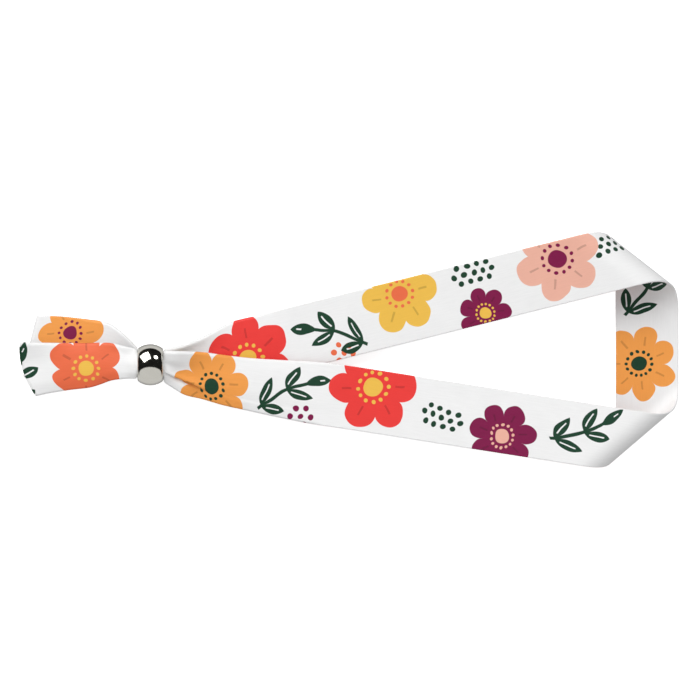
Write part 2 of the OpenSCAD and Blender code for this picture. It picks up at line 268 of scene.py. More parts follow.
class Half:
    """One half of the ribbon, from the middle of the far stretch to its cut end.

    aim is the sideways place at the bead that its leg points to, skew how far its fold leans from
    straight across, in degrees, curl the fold's radius, and sag the radius of the arc of its leg.
    """

    def __init__(self, side, aim, skew, curl, sag, gathers, pleat, tail, end_bow):
        self.side = side
        self.aim = aim
        self.skew = math.radians(skew)
        self.curl = curl
        self.sag = sag
        self.gathers = np.array(gathers)
        self.pleat = np.array(pleat)
        self.tail = np.array(tail)
        self.end_bow = end_bow
        self.level = BEAD_Z - side * PASS_LEVEL
        self.sin = math.sin(self.skew)
        self.cos = math.cos(self.skew)
        self.tan = math.tan(self.skew)
        # The leg leaves its fold at a slope that, with its sag, brings it to its level at the bead
        reach = (LOOP_LENGTH - math.pi * curl * self.sin) / (2 * self.sin)
        drop = CLOTH / 2 + 2 * curl - self.level
        self.fall = drop / reach + reach / (2 * sag)
        self.bend = math.pi + self.fall
        self.bend_run = curl * self.bend
        taken = curl * math.sin(self.bend) - self.bend_run
        self.leg_x = LOOP_LENGTH + self.sin * taken
        self.leg_slope = side / math.tan(2 * self.skew)
        leg_y = aim + self.leg_slope * self.leg_x
        self.flat_run = side * (leg_y - FAR_OFFSET) - self.bend_run / self.cos - self.cos * taken
        self.fold_end = self.flat_run + self.bend_run / self.cos
        self.pass_points = pass_section(side)

    def leg_z(self, run):
        top = CLOTH / 2 + self.curl * (1 - math.cos(self.bend))
        return top - self.fall * run + run * run / (2 * self.sag)

    def leg_along(self, x):
        return self.fold_end + (self.leg_x - x) / math.sin(2 * self.skew)

    def folded_row(self, along, slant):
        """A row of the flat cloth, the fold and the leg: places, and runs along the ribbon."""
        alongs = along - slant * ACROSS * self.tan
        run = (alongs - self.flat_run) * self.cos + ACROSS * self.sin
        turned = np.clip(run / self.curl, 0, self.bend)
        past = np.maximum(run - self.bend_run, 0)
        outward = np.where(run < 0, run, self.curl * np.sin(turned) - past)
        height = CLOTH / 2 + self.curl * (1 - np.cos(turned))
        height = np.where(past > 0, self.leg_z(past), height)
        moved = outward - run
        x = LOOP_LENGTH + ACROSS + self.sin * moved
        y = FAR_OFFSET + self.side * (alongs + self.cos * moved)
        return np.stack([x, y, height], axis=1), alongs

    def blended(self, x, y, turn, section, base, along, bow=0.0):
        """A gathered row, blended into the pass through the bead as it comes in to the mouth."""
        if self.side == UPPER:
            section, passed = section[::-1], self.pass_points[::-1]
        else:
            passed = self.pass_points
        sideways, rise = section[:, 0], section[:, 1]
        bowed = bow * (1 - (sideways / sideways.max()) ** 2)
        down_ribbon = x + sideways * math.sin(turn) - bowed
        cloth = np.stack([down_ribbon, y + sideways * math.cos(turn), base + rise], axis=1)
        bored = np.stack([np.full(COLUMNS, x), passed[:, 0], passed[:, 1]], axis=1)
        gather = 1 - smooth((abs(x) - MOUTH) / MOUTH_RUN)
        return mix(cloth, bored, gather), np.full(COLUMNS, along)

    def table_row(self, table, x):
        return np.array([float(curve(table[:, 0], table[:, k], x)) for k in range(1, table.shape[1])])

    def leg_row(self, x):
        shift, width, *heights = self.table_row(self.gathers, x)
        turn = -math.atan(self.leg_slope) * float(smooth(x / GATHER_START))
        run = (self.leg_x - x) / (2 * self.sin) + ACROSS * self.sin
        pleat = self.table_row(self.pleat, x)
        section = gathered_section(RIBBON_WIDTH * width, np.array(heights), pleat)
        y = self.aim + self.leg_slope * x + shift
        return self.blended(x, y, turn, section, self.leg_z(run), self.leg_along(x))

    def tail_row(self, reach):
        y, width, turn, lift, *heights = self.table_row(self.tail, reach)
        section = gathered_section(RIBBON_WIDTH * width, np.array(heights))
        along = self.leg_along(MOUTH) + MOUTH + reach
        # The high power keeps the bow to the last stretch of the tail
        bow = self.end_bow * (reach / self.tail[-1, 0]) ** 4
        return self.blended(-reach, y, math.radians(turn), section, self.level + lift, along, bow)

    def rows(self):
        """Every row after the middle of the far stretch, out to the cut end."""
        for along in np.linspace(0, self.flat_run, FAR_STEPS + 1)[1:]:
            yield self.folded_row(along, float(smooth(along / self.flat_run)))
        for along in np.linspace(self.flat_run, self.fold_end, CURL_STEPS + 1)[1:]:
            yield self.folded_row(along, 1.0)
        for x in np.linspace(self.leg_x, GATHER_START, LEG_STEPS + 1)[1:]:
            slant = float(smooth((x - SQUARE_START) / (self.leg_x - SQUARE_START)))
            yield self.folded_row(self.leg_along(x), slant)
        for t in np.linspace(0, 1, GATHER_STEPS + 1)[1:]:
            yield self.leg_row(mix(MOUTH, GATHER_START, (1 - t) ** MOUTH_CROWDING))
        for t in np.linspace(0, 1, TAIL_STEPS + 1):
            yield self.tail_row(mix(MOUTH, self.tail[-1, 0], t ** MOUTH_CROWDING))


UPPER_HALF = Half(
    UPPER, aim=-2.35, skew=38.0, curl=5.3, sag=520,
    gathers=UPPER_GATHERS, pleat=NO_PLEAT, tail=UPPER_TAIL, end_bow=UPPER_END_BOW)
LOWER_HALF = Half(
    LOWER, aim=-0.42, skew=40.55, curl=4.3, sag=865,
    gathers=LOWER_GATHERS, pleat=PLEAT, tail=LOWER_TAIL, end_bow=LOWER_END_BOW)


def ribbon_grid():
    """The middle of the cloth as rows of places, from the upper cut end to the lower one."""
    upper = list(UPPER_HALF.rows())[::-1]
    middle = [UPPER_HALF.folded_row(0.0, 0.0)]
    lower = list(LOWER_HALF.rows())
    places = np.array([row[0] for row in upper + middle + lower])
    signs = [1] * (len(upper) + 1) + [-1] * len(lower)
    alongs = np.array([sign * row[1] for sign, row in zip(signs, upper + middle + lower)])
    return places, alongs


class Nodes:
    """Adds nodes to one tree. All methods but add, feed and fill return sockets of the node that they add."""

    def __init__(self, tree):
        self.tree = tree

    def add(self, kind, **settings):
        node = self.tree.nodes.new(kind)
        for name, value in settings.items():
            setattr(node, name, value)
        return node

    def feed(self, socket, value):
        if isinstance(value, bpy.types.NodeSocket):
            self.tree.links.new(value, socket)
        elif value is not None:
            socket.default_value = value

    def fill(self, node, values):
        """Feeds a node's inputs in their order, and returns the node."""
        for socket, value in zip(node.inputs, values):
            self.feed(socket, value)
        return node

    def made(self, kind, sockets, **settings):
        """The first output of a new node whose inputs are fed by their names."""
        node = self.add(kind, **settings)
        for label, value in sockets.items():
            self.feed(node.inputs[label], value)
        return node.outputs[0]

    def math(self, operation, *values):
        return self.fill(self.add("ShaderNodeMath", operation=operation), values).outputs[0]

    def plus(self, first, second):
        return self.math("ADD", first, second)

    def minus(self, first, second):
        return self.math("SUBTRACT", first, second)

    def times(self, first, second):
        return self.math("MULTIPLY", first, second)

    def over(self, first, second):
        return self.math("DIVIDE", first, second)

    def vector(self, operation, *values):
        node = self.fill(self.add("ShaderNodeVectorMath", operation=operation), values)
        return node.outputs["Value" if operation in ("LENGTH", "DOT_PRODUCT", "DISTANCE") else "Vector"]

    def scaled(self, vector, factor):
        return self.made("ShaderNodeVectorMath", {0: vector, "Scale": factor}, operation="SCALE")

    def split(self, vector):
        return tuple(self.fill(self.add("ShaderNodeSeparateXYZ"), [vector]).outputs)

    def join(self, x=0.0, y=0.0, z=0.0):
        return self.fill(self.add("ShaderNodeCombineXYZ"), (x, y, z)).outputs[0]

    def fade(self, value, full, none):
        """1 where value is past full, 0 where it is past none, and smooth between them."""
        node = self.add("ShaderNodeMapRange", interpolation_type="SMOOTHSTEP")
        return self.fill(node, (value, none, full, 0.0, 1.0)).outputs[0]

    def inside(self, gap, edge):
        """1 where gap is below zero by an edge, 0 where it is above zero by an edge."""
        return self.fade(gap, self.times(edge, -1.0), edge)

    def within(self, value, size, softness, edge):
        """1 where value is under size, 0 where it is past size by the softness and an edge."""
        return self.fade(value, size, self.plus(edge, size + softness))

    def span(self, value, low, high):
        """A value from 0 to 1 brought to the span from low to high."""
        return self.fill(self.add("ShaderNodeMapRange"), (value, 0.0, 1.0, low, high)).outputs[0]

    def blend(self, share, first, second):
        # Sockets 6 and 7 and output 2 are the ones for colours
        node = self.add("ShaderNodeMix", data_type="RGBA")
        self.feed(node.inputs["Factor"], share)
        self.feed(node.inputs[6], first)
        self.feed(node.inputs[7], second)
        return node.outputs[2]

    def noise(self, vector, scale, detail=2.0, roughness=0.5):
        sockets = {"Vector": vector, "Scale": scale, "Detail": detail, "Roughness": roughness}
        return self.made("ShaderNodeTexNoise", sockets)

    def bump(self, height, strength, distance):
        return self.made("ShaderNodeBump", {"Strength": strength, "Distance": distance, "Height": height})


def new_group(name, kind, inputs, outputs):
    """An empty node group with named sockets, its Nodes, and the sockets that it is given and gives."""
    tree = bpy.data.node_groups.new(name, kind)
    for in_out, sockets in (("INPUT", inputs), ("OUTPUT", outputs)):
        for label, socket_type in sockets.items():
            tree.interface.new_socket(name=label, in_out=in_out, socket_type=socket_type)
    nodes = Nodes(tree)
    given = nodes.add("NodeGroupInput").outputs
    result = nodes.add("NodeGroupOutput").inputs
    return tree, nodes, given, result


FLOAT = "NodeSocketFloat"
WHOLE = "NodeSocketInt"
VECTOR = "NodeSocketVector"
GEOMETRY = "NodeSocketGeometry"
MATERIAL = "NodeSocketMaterial"


def finished_by_nodes(obj, tree, values):
    """The plain mesh that a geometry tree makes of an object, which it replaces."""
    modifier = obj.modifiers.new(tree.name, "NODES")
    modifier.node_group = tree
    for socket in tree.interface.items_tree:
        if socket.in_out == "INPUT" and socket.name in values:
            modifier[socket.identifier] = values[socket.name]
    bpy.context.view_layer.update()
    evaluated = obj.evaluated_get(bpy.context.evaluated_depsgraph_get())
    mesh = bpy.data.meshes.new_from_object(evaluated)
    obj.modifiers.remove(modifier)
    mesh.name = obj.name
    old = obj.data
    obj.data = mesh
    bpy.data.meshes.remove(old)
    return obj


def new_object(name, data):
    obj = bpy.data.objects.new(name, data)
    bpy.context.scene.collection.objects.link(obj)
    return obj


def to_metres(points):
    """Places about the bead, in millimetres, brought to the shared frame in metres."""
    return points * MM + np.array([bead_centre.x, bead_centre.y, 0.0])


# Inks and ground. The light on the ribbon lifts each colour by this much
LIGHT_LEVEL = 1.12


def ink(red, green, blue):
    """A colour as it is seen, in 0 to 255, brought to the cloth's own linear colour."""
    seen = [channel / 255 for channel in (red, green, blue)]
    linear = [c / 12.92 if c <= 0.04045 else ((c + 0.055) / 1.055) ** 2.4 for c in seen]
    return (*(c / LIGHT_LEVEL for c in linear), 1.0)


GROUND = ink(245, 245, 245)
RED = ink(239, 58, 54)
CORAL = ink(239, 110, 70)
ORANGE = ink(246, 161, 76)
YELLOW = ink(243, 193, 78)
SALMON = ink(241, 182, 162)
PLUM = ink(128, 6, 70)
GREEN = ink(16, 62, 40)

# The print, in millimetres along the ribbon from the middle of the far stretch, positive towards the
# upper cut end, and across it. Blossoms: along, across, radius, turn in degrees, petals, petal colour,
# centre colour
BLOSSOMS = [
    (46.0, -3.4, 10.4, 12, 6, SALMON, PLUM),
    (66.0, 5.2, 6.4, 20, 7, PLUM, YELLOW),
    (85.0, -4.2, 9.4, 0, 6, YELLOW, CORAL),
    (124.0, 2.4, 10.6, 30, 6, RED, YELLOW),
    (168.0, -4.0, 7.8, 8, 6, ORANGE, PLUM),
    (-57.5, -3.6, 8.2, 15, 7, PLUM, SALMON),
    (-90.0, 3.4, 10.6, 10, 6, RED, YELLOW),
    (-129.0, -2.0, 9.2, 14, 7, ORANGE, GREEN),
    (-159.5, -0.6, 8.8, 25, 6, CORAL, YELLOW),
]
# Sprigs: along, across, half length, turn in degrees, leaf width as a share of its length, bow of the
# stem, colour
SPRIGS = [
    (103.5, 0.2, 9.6, -24, 0.40, 0.16, GREEN),
    (-37.0, 1.2, 9.6, 30, 0.40, 0.18, GREEN),
    (-109.5, 0.6, 9.8, 28, 0.40, -0.18, GREEN),
    (-174.5, -1.2, 8.0, 66, 0.42, 0.18, GREEN),
]
# Patches of small dots: along, across, half length, half width, turn in degrees, colour
DOT_PATCHES = [
    (33.0, -4.0, 4.6, 3.4, 10, GREEN),
    (66.5, -5.0, 5.6, 3.0, 0, GREEN),
    (101.5, 6.2, 4.6, 2.4, -12, CORAL),
    (-72.5, -1.2, 5.4, 3.6, -10, GREEN),
    (-106.5, -6.0, 4.6, 2.2, 0, PLUM),
    (-145.0, 5.6, 4.4, 2.2, 0, GREEN),
]
# The other face carries the same print, moved along by this much and repeated after the second length
BACK_SHIFT = -126.0
PRINT_LENGTH = 352.0
# How far a printed edge takes to fade, and how far the drawn outlines waver, in millimetres
INK_EDGE = 0.05
INK_WAVER = 0.75
# The veins' share of their petal's brightness
VEIN_SHADE = 0.72


def blossom_group():
    """A round blossom of radius 1 in its own place: petals, their veins, the centre and its dots."""
    tree, n, given, result = new_group(
        "printed blossom", "ShaderNodeTree",
        {"Place": VECTOR, "Petals": FLOAT, "Edge": FLOAT},
        {"Petal": FLOAT, "Vein": FLOAT, "Centre": FLOAT, "Dots": FLOAT})
    petal_fullness, heart_radius, centre_radius = 0.70, 0.60, 0.20
    vein_width, vein_start, vein_end, vein_taper = 0.020, 0.50, 0.70, 0.03
    dot_ring, dot_radius = 0.335, 0.045
    edge = given["Edge"]
    x, y, _ = n.split(given["Place"])
    reach = n.vector("LENGTH", given["Place"])
    angle = n.math("ARCTAN2", y, x)

    def sector(count):
        """The place in its own one of so many equal sectors: along its middle, and aside from it."""
        half = n.over(math.pi, count)
        folded = n.math("WRAP", angle, half, n.times(half, -1.0))
        folded = n.math("ABSOLUTE", folded)
        along = n.times(reach, n.math("COSINE", folded))
        aside = n.times(reach, n.math("SINE", folded))
        return along, aside, half

    def round_spot(along, aside, place, radius):
        gap = n.vector("LENGTH", n.join(n.minus(along, place), aside))
        return n.inside(n.minus(gap, radius), edge)

    along, aside, half = sector(given["Petals"])
    # A petal is as wide as its sector allows, so that neighbours part only near their tips
    petal_radius = n.times(n.math("SINE", half), petal_fullness)
    petal_place = n.minus(1.0, petal_radius)
    petal = round_spot(along, aside, petal_place, petal_radius)
    heart = n.within(reach, heart_radius, softness=0.02, edge=edge)
    n.feed(result["Petal"], n.math("MAXIMUM", petal, heart))
    line = n.within(aside, vein_width, softness=0.004, edge=edge)
    from_start = n.fade(along, vein_start, vein_start - vein_taper)
    to_end = n.fade(along, vein_end, vein_end + vein_taper)
    n.feed(result["Vein"], n.times(line, n.times(from_start, to_end)))
    n.feed(result["Centre"], n.within(reach, centre_radius, softness=0.01, edge=edge))
    dot_along, dot_aside, _ = sector(n.times(given["Petals"], 2.0))
    n.feed(result["Dots"], round_spot(dot_along, dot_aside, dot_ring, dot_radius))
    return tree


def sprig_group():
    """A bowed stem from -1 to 1 with leaves in pairs and one at its tip."""
    tree, n, given, result = new_group(
        "printed sprig", "ShaderNodeTree",
        {"Place": VECTOR, "Leaf Width": FLOAT, "Bow": FLOAT, "Edge": FLOAT},
        {"Mask": FLOAT})
    pair_step, first_pair, pairs_end = 0.74, -0.92, 0.52
    leaf_half, leaf_turn, leaf_root = 0.33, math.radians(38), 0.05
    rib_width, rib_start, rib_end, rib_taper = 0.035, -0.55, 0.45, 0.1
    stem_width, stem_middle, stem_half = 0.036, -0.14, 0.84
    edge = given["Edge"]
    x, y, _ = n.split(given["Place"])
    bowed = n.minus(y, n.times(n.times(x, x), given["Bow"]))
    beside = n.math("ABSOLUTE", bowed)

    def leaf(along, aside):
        """A pointed leaf from -1 to 1, the space between two arcs, with its midrib left bare."""
        width = given["Leaf Width"]
        squared = n.times(width, width)
        radius = n.over(n.plus(squared, 1.0), n.times(width, 2.0))
        sunk = n.minus(radius, width)
        aside = n.math("ABSOLUTE", aside)
        place = n.join(along, n.plus(aside, sunk))
        gap = n.minus(n.vector("LENGTH", place), radius)
        shape = n.inside(n.times(gap, leaf_half), edge)
        rib = n.fade(aside, rib_width, rib_width + 0.03)
        from_start = n.fade(along, rib_start, rib_start - rib_taper)
        to_end = n.fade(along, rib_end, rib_end + rib_taper)
        rib = n.times(rib, n.times(from_start, to_end))
        return n.times(shape, n.minus(1.0, rib))

    # The pairs share one leaf, drawn in a step of the stem that repeats
    step = n.math("WRAP", n.minus(x, first_pair), pair_step, 0.0)
    cos_turn, sin_turn = math.cos(leaf_turn), math.sin(leaf_turn)
    along = n.plus(n.times(step, cos_turn), n.times(beside, sin_turn))
    aside = n.minus(n.times(beside, cos_turn), n.times(step, sin_turn))
    pair_leaf = leaf(
        n.over(n.minus(along, leaf_root + leaf_half), leaf_half),
        n.over(aside, leaf_half))
    on_stem = n.times(n.math("GREATER_THAN", x, first_pair), n.math("LESS_THAN", x, pairs_end))
    pair_leaf = n.times(pair_leaf, on_stem)
    tip_leaf = leaf(
        n.over(n.minus(x, 1.0 - leaf_half), leaf_half),
        n.over(bowed, leaf_half))
    stem = n.within(beside, stem_width, softness=0.008, edge=edge)
    along_stem = n.math("ABSOLUTE", n.minus(x, stem_middle))
    stem = n.times(stem, n.fade(along_stem, stem_half, stem_half + 0.02))
    n.feed(result["Mask"], n.math("MAXIMUM", n.math("MAXIMUM", pair_leaf, tip_leaf), stem))
    return tree


def dots_group():
    """Rows of round dots, staggered, that stop at an oval of the given half length and width."""
    tree, n, given, result = new_group(
        "printed dots", "ShaderNodeTree",
        {"Place": VECTOR, "Half Length": FLOAT, "Half Width": FLOAT, "Edge": FLOAT},
        {"Mask": FLOAT})
    x, y, _ = n.split(given["Place"])
    dot_step, row_step, dot_radius = 2.35, 1.85, 0.68
    row = n.math("ROUND", n.over(y, row_step))
    shift = n.times(n.math("MODULO", n.math("ABSOLUTE", row), 2.0), dot_step / 2)
    column = n.math("ROUND", n.over(n.minus(x, shift), dot_step))
    dot_x = n.plus(n.times(column, dot_step), shift)
    dot_y = n.times(row, row_step)
    gap = n.vector("DISTANCE", n.join(x, y), n.join(dot_x, dot_y))
    dot = n.inside(n.minus(gap, dot_radius), given["Edge"])
    oval = n.vector("LENGTH", n.join(
        n.over(dot_x, given["Half Length"]), n.over(dot_y, given["Half Width"])))
    n.feed(result["Mask"], n.times(dot, n.math("LESS_THAN", oval, 1.0)))
    return tree


def printed_colour(n, place):
    """The whole print, laid over the white ground from a place on the ribbon in millimetres."""
    groups = {"blossom": blossom_group(), "sprig": sprig_group(), "dots": dots_group()}

    def local(along, across, size, turn):
        """The place as a motif at this middle, size and turn has it."""
        sockets = {
            "Vector": place, "Location": (along, across, 0.0), "Rotation": (0.0, 0.0, math.radians(turn)),
            "Scale": (size, size, 1.0)}
        return n.made("ShaderNodeMapping", sockets, vector_type="TEXTURE")

    def motif(kind, where, edge, **sizes):
        node = n.add("ShaderNodeGroup")
        node.node_tree = groups[kind]
        n.feed(node.inputs["Place"], where)
        node.inputs["Edge"].default_value = edge
        for name, value in sizes.items():
            node.inputs[name.replace("_", " ").title()].default_value = value
        return node.outputs

    colour = GROUND
    for along, across, half_length, half_width, turn, dye in DOT_PATCHES:
        where = local(along, across, 1.0, turn)
        drawn = motif("dots", where, INK_EDGE, half_length=half_length, half_width=half_width)
        colour = n.blend(drawn["Mask"], colour, dye)
    for along, across, half_length, turn, leaf_width, bow, dye in SPRIGS:
        where = local(along, across, half_length, turn)
        drawn = motif("sprig", where, INK_EDGE / half_length, leaf_width=leaf_width, bow=bow)
        colour = n.blend(drawn["Mask"], colour, dye)
    for along, across, radius, turn, petals, dye, centre in BLOSSOMS:
        where = local(along, across, radius, turn)
        drawn = motif("blossom", where, INK_EDGE / radius, petals=petals)
        colour = n.blend(drawn["Petal"], colour, dye)
        darker = tuple(channel * VEIN_SHADE for channel in dye[:3]) + (1.0,)
        colour = n.blend(drawn["Vein"], colour, darker)
        colour = n.blend(drawn["Centre"], colour, centre)
        colour = n.blend(drawn["Dots"], colour, centre)
    return colour


def satin_relief(n, place):
    """Height of the weave: long floats side by side, each tied down once in five picks."""
    yarn_step, pick_step, float_picks, tie_shift = 0.28, 0.42, 5.0, 2.0
    # The lower the power, the flatter the top
    yarn_power, float_power = 0.6, 0.35
    along, across, _ = n.split(place)
    yarns = n.over(across, yarn_step)
    yarn = n.math("FLOOR", yarns)
    round_top = n.math("SINE", n.times(n.math("FRACT", yarns), math.pi))
    picks = n.over(along, pick_step)
    shift = n.times(yarn, tie_shift / float_picks)
    float_place = n.math("FRACT", n.plus(n.over(picks, float_picks), shift))
    float_top = n.math("SINE", n.times(float_place, math.pi))
    float_top = n.math("POWER", n.math("MAXIMUM", float_top, 0.0), float_power)
    return n.times(n.math("POWER", round_top, yarn_power), float_top)


def new_material(name):
    """A new material, the Nodes of its tree and the inputs of its shader."""
    material = bpy.data.materials.new(name)
    material.use_nodes = True
    tree = material.node_tree
    return material, Nodes(tree), tree.nodes["Principled BSDF"].inputs


def ribbon_material():
    material, n, shader = new_material("printed_satin")
    place = n.add("ShaderNodeAttribute", attribute_name="print_place").outputs["Vector"]
    # Drawn outlines waver a little
    waver = n.noise(place, scale=0.16, detail=1.0).node.outputs["Color"]
    waver = n.vector("SUBTRACT", waver, (0.5, 0.5, 0.5))
    waver = n.vector("MULTIPLY", waver, (INK_WAVER * 2, INK_WAVER * 2, 0.0))
    colour = printed_colour(n, n.vector("ADD", place, waver))
    # Ink takes a little unevenly, and each yarn is a shade lighter or darker than the next
    uneven = n.span(n.noise(place, scale=0.11, detail=3.0), low=0.965, high=1.03)
    yarn_fineness = (0.25, 3.4, 0.0)
    yarn_place = n.vector("MULTIPLY", place, yarn_fineness)
    yarn_shade = n.span(n.noise(yarn_place, scale=1.0, detail=1.0), low=0.96, high=1.04)
    n.feed(shader["Base Color"], n.scaled(colour, n.times(uneven, yarn_shade)))
    relief = satin_relief(n, place)
    n.feed(shader["Roughness"], n.span(relief, low=0.62, high=0.48))
    n.feed(shader["Normal"], n.bump(relief, strength=0.35, distance=0.03 * MM))
    shader["Specular IOR Level"].default_value = 0.22
    shader["Sheen Weight"].default_value = 0.08
    shader["Sheen Roughness"].default_value = 0.4
    return material


def bead_material():
    material, n, shader = new_material("polished_nickel")
    place = n.add("ShaderNodeTexCoord").outputs["Object"]
    about_centre = n.vector("SUBTRACT", place, tuple(bead_centre))
    along, _, _ = n.split(about_centre)
    # Polish marks run round the bore, so they change only along it
    marks = n.noise(n.join(n.times(along, 1 / MM)), scale=9.0, detail=3.0, roughness=0.7)
    smudges = n.noise(about_centre, scale=420.0, detail=3.0)
    n.feed(shader["Roughness"], n.span(smudges, low=0.05, high=0.13))
    n.feed(shader["Base Color"], n.blend(smudges, (0.58, 0.565, 0.51, 1.0), (0.64, 0.625, 0.58, 1.0)))
    n.feed(shader["Normal"], n.bump(marks, strength=0.10, distance=0.01 * MM))
    shader["Metallic"].default_value = 1.0
    return material


def floor_material():
    material, n, shader = new_material("pale_floor")
    mottle = n.noise(n.add("ShaderNodeTexCoord").outputs["Object"], scale=6.0)
    n.feed(shader["Base Color"], n.blend(mottle, (0.90, 0.90, 0.90, 1.0), (0.92, 0.92, 0.92, 1.0)))
    shader["Roughness"].default_value = 0.9
    shader["Specular IOR Level"].default_value = 0.1
    shader["Emission Color"].default_value = (1.0, 1.0, 1.0, 1.0)
    shader["Emission Strength"].default_value = 0.68
    return material


def cloth_normals(places):
    return unit(np.cross(np.gradient(places, axis=0), np.gradient(places, axis=1)))


def ribbon_cloth(places, alongs, satin):
    """The ribbon as a closed sheet: both faces, rounded selvedges and both cut ends."""
    rows = len(places)
    outward = unit(np.gradient(places, axis=1))
    half_cloth = cloth_normals(places) * CLOTH / 2
    back = places + half_cloth
    front = places - half_cloth
    far_edge = places[:, -1:] + outward[:, -1:] * SELVEDGE_BULGE
    near_edge = places[:, :1] - outward[:, :1] * SELVEDGE_BULGE
    rings = np.concatenate([back, far_edge, front[:, ::-1], near_edge], axis=1)
    ring_size = rings.shape[1]
    columns = list(range(COLUMNS)) + [COLUMNS - 1] + list(range(COLUMNS - 1, -1, -1)) + [0]

    # Faces as (row, place in the ring) corners, with a flag that says whether the back's print shows
    faces = []
    for row in range(rows - 1):
        for k in range(ring_size):
            after = (k + 1) % ring_size
            faces.append(((row, k), (row + 1, k), (row + 1, after), (row, after), k < COLUMNS - 1))
    cap = []
    for i in range(COLUMNS - 1):
        opposite = ring_size - 2 - i
        cap.append((i, i + 1, opposite - 1, opposite))
    cap.append((COLUMNS - 1, COLUMNS, COLUMNS + 1))
    cap.append((ring_size - 2, ring_size - 1, 0))
    for corners in cap:
        faces.append((*((0, k) for k in corners), False))
        faces.append((*((rows - 1, k) for k in reversed(corners)), False))

    mesh = bpy.data.meshes.new("ribbon_strap_cloth")
    flat_faces = [[row * ring_size + k for row, k in face[:-1]] for face in faces]
    mesh.from_pydata(to_metres(rings.reshape(-1, 3)).tolist(), [], flat_faces)
    place = mesh.attributes.new("print_place", "FLOAT_VECTOR", "CORNER")
    values = []
    for face in faces:
        first_row = face[0][0]
        shift = 0.0
        if face[-1]:
            shift = BACK_SHIFT
            if alongs[first_row].mean() + BACK_SHIFT < -PRINT_LENGTH / 2:
                shift += PRINT_LENGTH
        for row, k in face[:-1]:
            values.extend((alongs[row, columns[k]] + shift, ACROSS[columns[k]], 0.0))
    place.data.foreach_set("vector", values)
    mesh.polygons.foreach_set("use_smooth", [True] * len(mesh.polygons))
    mesh.materials.append(satin)
    return new_object("ribbon_strap_cloth", mesh)


# Weft turns along the selvedges
TURN_PITCH = 0.50
TURN_SIZE = (0.46, 0.20, 0.44)
TURN_SEED = 7
# The melted cut ends
SEAL_STEP = 0.16
SEAL_RADIUS = 0.25


def path_object(name, paths):
    """Bare paths with the print's place and two directions on each point, for a tree to follow."""
    points, edges, places, tangents, normals = [], [], [], [], []
    for positions, print_places, path_normals in paths:
        first = len(points)
        points.extend(to_metres(positions).tolist())
        edges.extend((first + i, first + i + 1) for i in range(len(positions) - 1))
        places.extend(print_places)
        tangents.extend(unit(np.gradient(positions, axis=0)).tolist())
        normals.extend(path_normals.tolist())
    mesh = bpy.data.meshes.new(name)
    mesh.from_pydata(points, edges, [])
    for label, values in (("print_place", places), ("path_tangent", tangents), ("path_normal", normals)):
        attribute = mesh.attributes.new(label, "FLOAT_VECTOR", "POINT")
        attribute.data.foreach_set("vector", np.array(values).ravel())
    return new_object(name, mesh)


def named_vector(n, label):
    return n.made("GeometryNodeInputNamedAttribute", {"Name": label}, data_type="FLOAT_VECTOR")


def spaced_paths(n, geometry, step):
    """The bare paths of a mesh as curves, with their points an even step apart."""
    curves = n.made("GeometryNodeMeshToCurve", {"Mesh": geometry})
    return n.made("GeometryNodeResampleCurve", {"Curve": curves, "Length": step}, mode="LENGTH")


def circle(n, points, radius):
    return n.made("GeometryNodeCurvePrimitiveCircle", {"Resolution": points, "Radius": radius})


def finish(n, geometry, given, result):
    """Ends a tree with one plain mesh, smooth faces and its material."""
    real = n.made("GeometryNodeRealizeInstances", {"Geometry": geometry})
    rounded = n.made("GeometryNodeSetShadeSmooth", {"Geometry": real})
    coated = n.made("GeometryNodeSetMaterial", {"Geometry": rounded, "Material": given["Material"]})
    n.feed(result["Geometry"], coated)


def selvedge_tree():
    """Weft turns set along the paths at an even pitch, each a small pillow across the edge."""
    tree, n, given, result = new_group(
        "weft turns", "GeometryNodeTree",
        {"Geometry": GEOMETRY, "Pitch": FLOAT, "Turn Size": VECTOR, "Seed": WHOLE, "Material": MATERIAL},
        {"Geometry": GEOMETRY})
    smallest, largest = 0.85, 1.06
    spaced = spaced_paths(n, given["Geometry"], given["Pitch"])
    points = n.made("GeometryNodeCurveToPoints", {"Curve": spaced}, mode="EVALUATED")
    axes = {"Primary Axis": named_vector(n, "path_normal"), "Secondary Axis": named_vector(n, "path_tangent")}
    turned = n.made("FunctionNodeAxesToRotation", axes, primary_axis="Z", secondary_axis="X")
    pillow = n.made("GeometryNodeMeshUVSphere", {"Segments": 6, "Rings": 4, "Radius": 0.5})
    # Sockets 2 and 3 and output 1 are the ones for plain numbers
    vary = n.add("FunctionNodeRandomValue", data_type="FLOAT")
    vary.inputs[2].default_value = smallest
    vary.inputs[3].default_value = largest
    n.feed(vary.inputs["Seed"], given["Seed"])
    size = n.scaled(given["Turn Size"], vary.outputs[1])
    placed = n.made(
        "GeometryNodeInstanceOnPoints",
        {"Points": points, "Instance": pillow, "Rotation": turned, "Scale": size})
    finish(n, placed, given, result)
    return tree


def seal_tree():
    """A thin melted line along each cut end, a little thicker and thinner as it goes."""
    tree, n, given, result = new_group(
        "melted cut ends", "GeometryNodeTree",
        {"Geometry": GEOMETRY, "Step": FLOAT, "Radius": FLOAT, "Material": MATERIAL},
        {"Geometry": GEOMETRY})
    spaced = spaced_paths(n, given["Geometry"], given["Step"])
    lumps = n.noise(n.add("GeometryNodeInputPosition").outputs[0], scale=1400.0)
    thickness = n.span(lumps, low=0.72, high=1.30)
    section = circle(n, 8, given["Radius"])
    line = n.made(
        "GeometryNodeCurveToMesh",
        {"Curve": spaced, "Profile Curve": section, "Scale": thickness, "Fill Caps": True})
    finish(n, line, given, result)
    return tree


